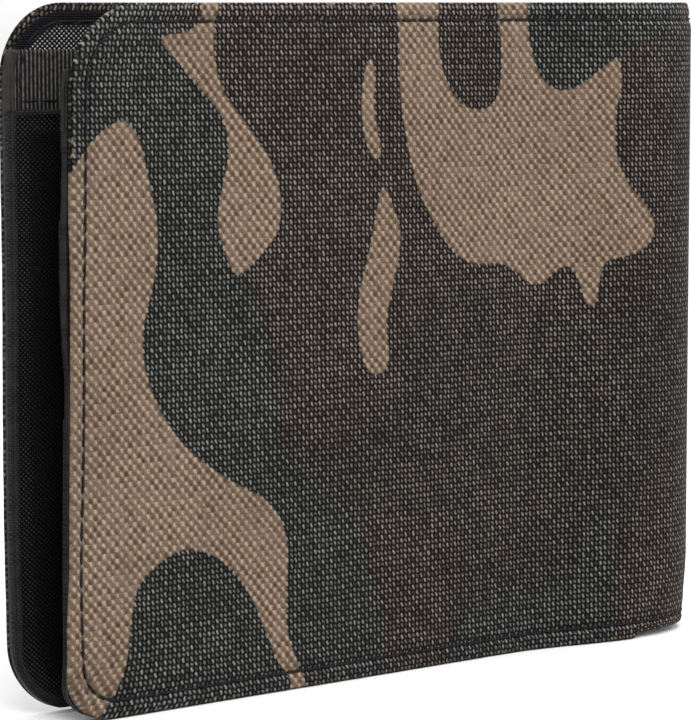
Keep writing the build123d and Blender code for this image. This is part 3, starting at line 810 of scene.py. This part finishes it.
def ribbon_material():
    """Grosgrain: upright ribs, each with a painted highlight, fine threads across them, and a smooth worn
    end.
    """
    n = Nodes("grosgrain", Roughness=0.5, Sheen_Weight=0.02, Sheen_Roughness=0.4, Specular_IOR_Level=0.10)
    cloth = n.cloth()
    u, v, _ = n.split(cloth)
    rib, thread = (abs(y) for y in yarns(n, u, v, 0.66, 0.16))
    painted_glint = (rib ** 5.0 * n.step(n.noise(cloth, 1400.0), 0.3, 0.7, 0.45, 1.2)).clamped()
    colour = n.mix(painted_glint, (0.0006, 0.0006, 0.0007), (0.150, 0.140, 0.132))
    worn = n.mix(n.noise(cloth, 700.0), (0.018, 0.0145, 0.012), (0.062, 0.052, 0.044))
    colour = n.mix(n.step(n.number("free"), 1.7, 1.1), colour, worn)
    return n.finish(colour, rib + thread * 0.22, 0.14 * MM, 0.8)


def thread_material():
    n = Nodes("sewing_thread", Roughness=0.5, Specular_IOR_Level=0.15)
    x, y, z = n.split(n.place())
    twist = n.sine(x + z + y, 0.45 * MM)
    colour = n.mix(n.step(twist, -0.6, 0.8), (0.0025, 0.0020, 0.0032), (0.013, 0.010, 0.0145))
    return n.finish(colour, twist, 0.04 * MM, 0.7)


def tape_material():
    """A herringbone tape: slanting lines that turn back every 1.1 mm of height."""
    n = Nodes("zip_tape_weave", Roughness=0.6, Sheen_Weight=0.1)
    x, _, z = n.split(n.place())
    line = n.sine(x + n.math("PINGPONG", z, 1.1 * MM), 0.55 * MM)
    colour = n.mix(n.step(line, -0.7, 0.9), (0.008, 0.008, 0.009), (0.045, 0.045, 0.047))
    return n.finish(colour, line, 0.05 * MM, 0.8)


def coil_material():
    n = Nodes("nylon_coil", Roughness=0.32)
    grain = n.noise(n.place(), 1500.0)
    return n.finish(n.mix(grain, (0.010, 0.010, 0.011), (0.038, 0.038, 0.040)), grain, 0.01 * MM, 0.5)


def metal_material():
    n = Nodes("black_nickel", Metallic=1.0)
    place = n.place()
    scratch = n.noise(n.vector("MULTIPLY", place, (300, 2600, 2600)), 1.0, 3.0, 0.7)
    wear = n.step(n.noise(place, 650.0, 3.0, 0.65), 0.50, 0.75)
    colour = n.mix(wear, (0.075, 0.073, 0.071), (0.125, 0.120, 0.114))
    return n.finish(colour, scratch, 0.006 * MM, 0.4, n.step(scratch, 0.3, 0.7, 0.24, 0.36))


def film_material():
    n = Nodes("clear_film", Roughness=0.12, Transmission_Weight=0.92, IOR=1.5)
    haze = n.noise(n.place(), 90.0, 3.0, 0.6)
    return n.finish((0.86, 0.88, 0.88), haze, 0.3 * MM, 0.35, n.step(haze, 0.3, 0.7, 0.08, 0.22))


def board_material():
    n = Nodes("pressed_board", Roughness=0.9)
    fibre = n.noise(n.vector("MULTIPLY", n.place(), (240, 900, 700)), 1.0, 4.0, 0.7)
    return n.finish(n.mix(fibre, (0.16, 0.13, 0.10), (0.30, 0.26, 0.21)), fibre, 0.05 * MM, 0.6)


CAMO = camo_material()
# painted light: one black nylon made twice, the lining's dots bright as painted highlights where light falls
# in at the open top, the other's dim as in shade
LINING = lining_material("lining_nylon", (0.62, 0.62, 0.63), 2.0)
NYLON = lining_material("black_nylon", (0.064, 0.064, 0.069), None)
RIBBON = ribbon_material()
THREAD = thread_material()
TAPE = tape_material()
COIL = coil_material()
METAL = metal_material()
FILM = film_material()
BOARD = board_material()


# ---------------------------------------------------------------- pieces: the cover's two leaves (mm)
def level(depth):
    """A face at one depth all over."""
    return lambda e, u, z: depth + 0 * e


def settle(piece, body, slot_name, node=None, rests_on=None):
    """Rides a body and stands for a CAD node, whose own mesh it hides."""
    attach(piece, body)
    if node:
        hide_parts(node)
    if rests_on:
        lo, hi = box(node)


tan_field, green_field, brown_field = print_field(TAN, True), print_field(GREEN, True), print_field(BROWN)
DIVIDER_MIDDLE_TOP = box("divider_fold")[1][2]
SLOPE_LENGTH = 34.0  # how far from the fold's middle the divider's top edge slopes
SLOTS_HEM_Z = 54  # the card slots' sewn edges thicken the front's free edge above this height
CLEAR = 0.03  # what keeps two touching layers apart
FINE_STITCH = dict(pitch=2.4, radius=0.12, rise=0.07)  # the finer stitches of the slots and the zip


def divider_face(plan):
    """The divider's inner side: a rolled edge 1.4 mm wide, then flat, with a stitched dent."""
    def depth(e, u, z):
        g = rim_distance(u, z, plan.end, 0.0, TOP, CORNER)
        high = 0.46
        if plan is FRONT:
            high = 0.03 + 1.12 * above(z, 46, 8)
            high = high * (1 + 0.10 * np.sin(z / 1.7) + 0.07 * np.sin(z / 0.8))
        return DIVIDER_INNER + high * half_round((g - 0.70) / 0.72, 4) - 0.14 * bell(g - STITCH_INSET, 0.35)
    return depth


def divider_back(e, u, z):
    """The divider's hidden side, just clear of the lining; its free edge is a round roll."""
    return DIVIDER_OUTER - 0.25 * below(e, 0.9, 0.9)


def lining_face(e, u, z):
    """The lining's inner side: slightly uneven, with a stitched dent."""
    uneven = 0.03 * np.sin(u / 5.0) * np.sin(z / 7.0) * smooth(e / 3)
    return LINING_INNER + uneven - 0.08 * bell(e - 1.2, 0.4)


def leaf_cloths(side, plan, divider_top):
    """The cover, lining, divider, ribbon and seams of one leaf, as far as the middle of the fold."""
    ribbon_low = divider_top - RIBBON_HEIGHT
    follow = partial(warp, plan=plan)
    face = divider_face(plan)

    def follow_sloped(p, u, z):
        """The divider's top edge slopes across the fold, from one leaf's height to the other's."""
        p = tuck(p, u, z) if plan is FRONT else follow(p, u, z)
        p[..., 2] += (DIVIDER_MIDDLE_TOP - divider_top) * smooth(1 - u / SLOPE_LENGTH) * z / divider_top
        return p

    def settle_folded(piece, kind, depth, rests_on=None):
        """The piece follows the leaf and the arc as far as the fold's middle; this bakes its place into its
        mesh and hides the CAD nodes it stands for.
        """
        start_x, start_y = plan.at(np.array(ARC_LENGTH + 0.6), depth)
        end_x, end_y = plan.at(np.array(0.0), depth)
        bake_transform(piece)
        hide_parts(f"{kind}_{side}", f"{kind}_fold")
        if rests_on:
            plan.end * MM

    cover = sheet(
        f"cover_cloth_{side}", plan, CAMO, cover_outer(plan), cover_inner, shape=follow,
        attrs={"tan": tan_field(plan), "green": green_field(plan), "brown": brown_field(plan),
               "seam": lambda u, z, e: seam_phase(u, z, plan),
               "line": lambda u, z, e: e - STITCH_INSET + wander(z) * (z > 3)})
    settle_folded(cover, "cover", 0.0, f"stiffener_{side}")

    lining = sheet(f"lining_cloth_{side}", plan, LINING, level(LINING_OUTER), lining_face,
                   inset=LINING_INSET, pitch=1.3, shape=follow)
    settle_folded(lining, "lining", 1.1, f"stiffener_{side}")

    divider = sheet(f"divider_cloth_{side}", plan, NYLON, divider_back, face,
                    high=divider_top, low=0.25, pitch=1.3, shape=follow_sloped)
    settle_folded(divider, "divider", 1.35, f"lining_cloth_{side}")

    def ribbon_back(e, u, z):
        """On the divider, and over its top edge down to the lining."""
        return np.where(z > divider_top, 1.16, face(e, u, z) - CLEAR)

    def ribbon_face(e, u, z):
        return face(e, u, z) + CLEAR + 0.16 * smooth(e / 0.25)

    ribbon = sheet(
        f"grosgrain_{side}", plan, RIBBON, ribbon_back, ribbon_face, inset=-0.14,
        high=divider_top + 0.25, low=ribbon_low, pitch=1.0, shape=follow_sloped,
        attrs={"free": lambda u, z, e: rim_distance(u, z, plan.end, 0, TOP, CORNER)})
    settle_folded(ribbon, "ribbon", 1.6)

    def inner_depth(u, z):
        on_divider = 1.30 + 0.18 * ((z < divider_top) & (z > ribbon_low))
        return np.where(z < divider_top, on_divider, 1.06)

    outside, length = seam_line(plan, 0.10)
    inside, _ = seam_line(plan, inner_depth, inward=True)
    on_ribbon = row_line(plan, SEAM_START, 1, ribbon_low + 1.4, 1.58, follow_sloped)
    threads = make(f"stitching_{side}", *join([
        stitches(outside, length),
        stitches(inside, length, rise=0.08, dip=0.25),
        stitches(on_ribbon, plan.end - 3.0, radius=0.13, rise=0.08)]), THREAD)
    settle_folded(threads, "seam_thread", 0.0)


leaf_cloths("front", FRONT, box("divider_front")[1][2])
leaf_cloths("back", BACK, box("divider_back")[1][2])


# ---------------------------------------------------------------- pieces: card slots on the front leaf
def card_slot(name, base):
    """One stepped layer: a hemmed top edge, a slight belly, and a thick bead at the free edge."""
    lo, hi = box(name)
    hem_height, inset = 2.5, 0.05

    def slot_face(e, u, z):
        hem = 0.16 * above(z, hi[2] - 3.2, 0.25) * smooth(e / 0.25)
        belly = 0.10 * np.sin((z - 4) / 22.0) * smooth(e / 12)
        line = -0.10 * bell(z - (hi[2] - hem_height), 0.25)
        g = FRONT.end - inset - u
        bead = 1.15 * half_round((g - 0.6) / 0.62, 4) * above(z, SLOTS_HEM_Z, 5) * (e > 0)
        return base + SLOT_CLOTH + hem + belly + line + bead

    slot = sheet(f"{name}_cloth", FRONT, NYLON, level(base), slot_face, inset=inset, high=hi[2],
                 low=lo[2], start=FRONT.u(hi[0]), pitch=1.2, shape=tuck)
    settle(slot, "front_leaf", "lining_fabric", name, "divider_cloth_front")

    hem_line = row_line(FRONT, FRONT.u(lo[0] + 1.5), -1, hi[2] - hem_height, base + 0.24,
                        partial(warp, plan=FRONT))
    line = make(f"{name}_stitching", *stitches(hem_line, hi[0] - lo[0] - 3, **FINE_STITCH), THREAD)
    settle(line, "front_leaf", "thread")


for k, name in enumerate(("card_slot_top", "card_slot_middle", "card_slot_bottom")):
    card_slot(name, SLOT_DEPTH + SLOT_STEP * k)


# ---------------------------------------------------------------- pieces: coin pocket on the back leaf
on_back = partial(warp, plan=BACK)
lo, hi = box("coin_pocket")
tape_lo, tape_hi = box("zip_tape_lower")[0], box("zip_tape_upper")[1]
ZIP_Z = (box("zip_coil_lower")[1][2] + box("zip_coil_upper")[0][2]) / 2
WINDOW_HALF = 2.4
window = (BACK.u(tape_hi[0] - 3), BACK.u(tape_lo[0] + 3), ZIP_Z - WINDOW_HALF, ZIP_Z + WINDOW_HALF)


def pocket_face(e, u, z):
    """The pocket swells a little below the zip, and its edge is a small roll."""
    swell = 0.12 * below(z, ZIP_Z - 8, 12) * smooth(e / 14)
    return POCKET_INNER + swell + 0.12 * bell(e - 0.5, 0.5) * (e > 0)


pocket = sheet(
    "coin_pocket_cloth", BACK, NYLON, level(POCKET_OUTER), pocket_face, inset=lo[0] - BACK_X,
    high=hi[2], low=lo[2], start=BACK.u(hi[0]), pitch=1.2, hole=window, shape=on_back)
settle(pocket, "back_leaf", "lining_fabric", "coin_pocket", "divider_cloth_back")

for name in ("zip_tape_lower", "zip_tape_upper"):
    t_lo, t_hi = box(name)
    tape = sheet(
        f"{name}_woven", BACK, TAPE, level(TAPE_OUTER),
        lambda e, u, z: TAPE_INNER + 0.02 * np.sin(u / 2.1) * smooth(e / 0.5),
        end=BACK.u(t_lo[0]), start=BACK.u(t_hi[0]), radius=0.4, outline=(t_lo[2], t_hi[2]), pitch=1.2,
        shape=on_back)
    settle(tape, "back_leaf", "zip_tape", name)


def unit(vectors):
    return vectors / np.linalg.norm(vectors, axis=1)[:, None]


def coil(name, sign):
    """A nylon coil: a flattened helix along the tape's edge, inside its CAD box."""
    c_lo, c_hi = box(name)
    turn_pitch, turn_points = 1.05, 14
    turns = int((c_hi[0] - c_lo[0]) / turn_pitch)
    t = np.linspace(0, turns, turns * turn_points + 1)
    x = c_lo[0] + 0.2 + (c_hi[0] - c_lo[0] - 0.4) * t / turns
    a = 2 * np.pi * t
    half_z, half_y = (c_hi[2] - c_lo[2]) / 2 - 0.12, (c_hi[1] - c_lo[1]) / 2 - 0.14
    z = (c_lo[2] + c_hi[2]) / 2 + half_z * np.cos(a)
    y = (c_lo[1] + c_hi[1]) / 2 + half_y * np.sin(a) * sign
    p = np.stack([x, y, z], -1)
    along = unit(np.gradient(p, axis=0))
    side = unit(np.cross(along, np.stack([0 * x, np.sin(a) * sign, np.cos(a)], -1)))
    out = np.cross(side, along)
    verts, faces = tube_set(p[None], side[None], out[None], 0.17, sides=7)
    settle(make(f"{name}_turns", verts, faces, COIL), "back_leaf", "zip_coil", name)


coil("zip_coil_lower", 1)
coil("zip_coil_upper", -1)

rows = []
for z in (ZIP_Z - WINDOW_HALF - 1.3, ZIP_Z + WINDOW_HALF + 1.3):
    row = row_line(BACK, BACK.u(tape_lo[0] + 1), -1, z, POCKET_INNER + 0.02, on_back)
    rows.append(stitches(row, tape_hi[0] - tape_lo[0] - 2, **FINE_STITCH))
zip_thread = make("zip_stitching", *join(rows), THREAD)
settle(zip_thread, "back_leaf", "thread")

# ---------------------------------------------------------------- pieces: middle leaf
panel_lo, panel_hi = box("middle_panel")
MIDDLE = Flat(panel_lo[0], panel_hi[0])
MIDDLE_CORNER = 3.0
NO_WORN_END = 9.0  # a "free" distance that is far from any worn end
NEAR_FOLD = 0.001  # a start past 0, which gives a sheet an edge there


def belly(p, u, z):
    """The panel is slightly wavy, and so is all that is sewn to it."""
    p = p.copy()
    p[..., 1] += 0.10 * np.sin((z - panel_lo[2]) / 61.0 * np.pi) * np.sin(u / 93.0 * np.pi) * np.sin(u / 21.0)
    return p


def middle(name, node, material, outer, inner, slot_name, rests_on=None, radius=0.5, hole=None):
    """A sheet on the middle leaf, with its CAD node's outline."""
    n_lo, n_hi = box(node)
    piece = sheet(
        name, MIDDLE, material, outer, inner, end=MIDDLE.u(n_lo[0]),
        start=max(MIDDLE.u(n_hi[0]), NEAR_FOLD), radius=radius, outline=(n_lo[2], n_hi[2]), pitch=1.5,
        hole=hole, shape=belly,
        attrs={"free": lambda u, z, e: NO_WORN_END + 0 * e})
    settle(piece, "middle_leaf", slot_name, node, rests_on)


middle("middle_panel_cloth", "middle_panel", NYLON, level(-0.25), level(0.25), "lining_fabric",
       "middle_binding", MIDDLE_CORNER)
middle("window_film_sheet", "window_film", FILM, level(-0.42), level(-0.30), "clear_film",
       "middle_panel_cloth")
w_lo, w_hi = box("window_film")
FRAME_LAP = 2.0  # how far the frame covers the film
frame_hole = (MIDDLE.u(w_hi[0] - FRAME_LAP), MIDDLE.u(w_lo[0] + FRAME_LAP),
              w_lo[2] + FRAME_LAP, w_hi[2] - FRAME_LAP)
middle("window_frame_tape", "window_frame", RIBBON, lambda e, u, z: -0.46 - 0.24 * smooth(e / 0.3),
       level(-0.45), "ribbon", hole=frame_hole)
for name, base in (("middle_slot_upper", 0.30), ("middle_slot_lower", 0.55)):
    hem_z = box(name)[1][2] - 3
    middle(f"{name}_cloth", name, NYLON, level(base),
           lambda e, u, z: base + 0.16 + 0.1 * above(z, hem_z, 0.3) * smooth(e / 0.2),
           "lining_fabric", "middle_panel_cloth")


def binding():
    """A folded tape swept round the middle leaf's three free edges, with a U-shaped section."""
    r, width, pitch = MIDDLE_CORNER, 4.0, 1.5
    (x0, _, z0), (x1, _, z1) = box("middle_tape")
    turn = np.linspace(0, math.pi / 2, 9)
    # each point of the outline: X, Z, and the direction towards the panel
    path = [(x, z0, 0, 1) for x in np.arange(x1, x0 + r, -pitch)]
    path += [(x0 + r - r * math.sin(a), z0 + r - r * math.cos(a), math.sin(a), math.cos(a)) for a in turn]
    path += [(x0, z, 1, 0) for z in np.arange(z0 + r + 1, z1 - r, pitch)]
    path += [(x0 + r - r * math.cos(a), z1 - r + r * math.sin(a), math.cos(a), -math.sin(a)) for a in turn]
    path += [(x, z1, 0, -1) for x in np.arange(x0 + r + 1, x1 + 0.1, pitch)]
    path = np.array(path)
    # the section: how far in from the edge, and Y
    outer = [(1.0 - math.sin(a), -0.98 * math.cos(a)) for a in np.linspace(0, np.pi, 9)]
    inner = [(width, 0.50), (1.2, 0.62), (0.5, 0.0), (1.2, -0.62), (width, -0.50)]
    section = np.array([(width, -0.72), *outer, (width, 0.72), *inner])
    n, m = len(path), len(section)
    verts = np.zeros((n, m, 3))
    verts[..., 0] = path[:, 0][:, None] + path[:, 2][:, None] * section[:, 0][None]
    verts[..., 2] = path[:, 1][:, None] + path[:, 3][:, None] * section[:, 0][None]
    verts[..., 1] = section[:, 1][None]
    length = np.concatenate([[0], np.cumsum(np.hypot(*np.diff(path[:, :2], axis=0).T))])
    cloth = np.stack([np.repeat(length, m), np.tile(section[:, 0], n), np.full(n * m, 3.0)], -1) * MM
    return make("middle_binding", *loft(verts), RIBBON, {"cloth": cloth, "free": np.full(n * m, NO_WORN_END)})


settle(binding(), "middle_leaf", "ribbon", "middle_tape")

# the strip that holds the middle leaf in the fold: thicker over the panel than in the fold
h_lo, h_hi = box("hinge_strip")
PANEL_LAP = 5.0
STRIP = Flat(panel_hi[0] - PANEL_LAP, h_hi[0])


def strip_face(e, u, z):
    return 0.42 - 0.12 * above(u, h_hi[0] - panel_hi[0], 2)


strip = sheet(
    "middle_hinge_cloth", STRIP, NYLON, lambda e, u, z: -strip_face(e, u, z), strip_face,
    start=NEAR_FOLD, radius=0.4, outline=(h_lo[2], h_hi[2]), pitch=0.8)
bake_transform(strip)
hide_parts("hinge_strip")
STRIP.end * MM

# CAD nodes whose shape is right, with better materials
for name, material in (("zip_slider", METAL), ("zip_pull", METAL), ("zip_stops", METAL),
                       ("stiffener_front", BOARD), ("stiffener_back", BOARD)):
    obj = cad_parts[name]
    obj.data.materials.clear()
    obj.data.materials.append(material)


# ---------------------------------------------------------------- stage, light, camera (metres)
def plane(name, size, z, material):
    mesh = bpy.data.meshes.new(name)
    s = size / 2
    mesh.from_pydata([(-s, -s, z), (s, -s, z), (s, s, z), (-s, s, z)], [], [(0, 1, 2, 3)])
    mesh.materials.append(material)
    obj = bpy.data.objects.new(name, mesh)
    bpy.context.scene.collection.objects.link(obj)
    return obj


pale = Nodes("pale_floor", Roughness=0.8)
grain = pale.noise(pale.place(), 30.0, 3.0)
pale.finish(pale.mix(grain, (0.90, 0.90, 0.90), (0.94, 0.94, 0.94)))
floor = plane("studio_floor", 8.0, -0.0001, pale.material)
floor.visible_diffuse = False  # the pale floor throws no light up on the dark cloth

world = bpy.data.worlds.new("studio")
world.use_nodes = True
sky = world.node_tree
ramp = sky.nodes.new("ShaderNodeMapRange")
height = sky.nodes.new("ShaderNodeSeparateXYZ")
sky.links.new(sky.nodes.new("ShaderNodeTexCoord").outputs["Generated"], height.inputs[0])
sky.links.new(height.outputs[2], ramp.inputs[0])
for socket, value in zip(ramp.inputs[1:5], (-0.12, 0.0, 0.10, 1.0)):
    socket.default_value = value
background = sky.nodes["Background"]
background.inputs[0].default_value = (1, 1, 1, 1)
sky.links.new(ramp.outputs[0], background.inputs[1])
bpy.context.scene.world = world


def softbox(name, place, aim, size, power):
    light = bpy.data.lights.new(name, "AREA")
    light.shape, light.size, light.size_y, light.energy = "RECTANGLE", *size, power
    obj = bpy.data.objects.new(name, light)
    obj.location = place
    obj.rotation_euler = (Vector(aim) - Vector(place)).to_track_quat("-Z", "Y").to_euler()
    bpy.context.scene.collection.objects.link(obj)


softbox("key_softbox", (-0.45, -0.80, 0.75), (0, 0, 0.05), (0.6, 0.6), 7.0)
softbox("top_softbox", (0.10, -0.10, 1.1), (0, 0, 0.04), (1.0, 1.0), 5.0)
softbox("right_softbox", (0.75, -0.45, 0.40), (0, 0, 0.05), (0.4, 0.6), 2.0)

bpy.context.scene.view_settings.view_transform = "Standard"

CAMERA_PLACE = (-341.8, -379.7, 95.1)
CAMERA_TURN, CAMERA_TILT = 41.53, 5.676
FOCAL_LENGTH = 180.25
camera = bpy.data.objects.new("camera", bpy.data.cameras.new("camera"))
camera.data.lens, camera.data.sensor_width = FOCAL_LENGTH, 36.0
camera.data.clip_start, camera.data.clip_end = 0.01, 50.0
camera.location = [v * MM for v in CAMERA_PLACE]
camera.rotation_euler = (math.radians(90 - CAMERA_TILT), 0, math.radians(-CAMERA_TURN))
bpy.context.scene.collection.objects.link(camera)
bpy.context.scene.camera = camera
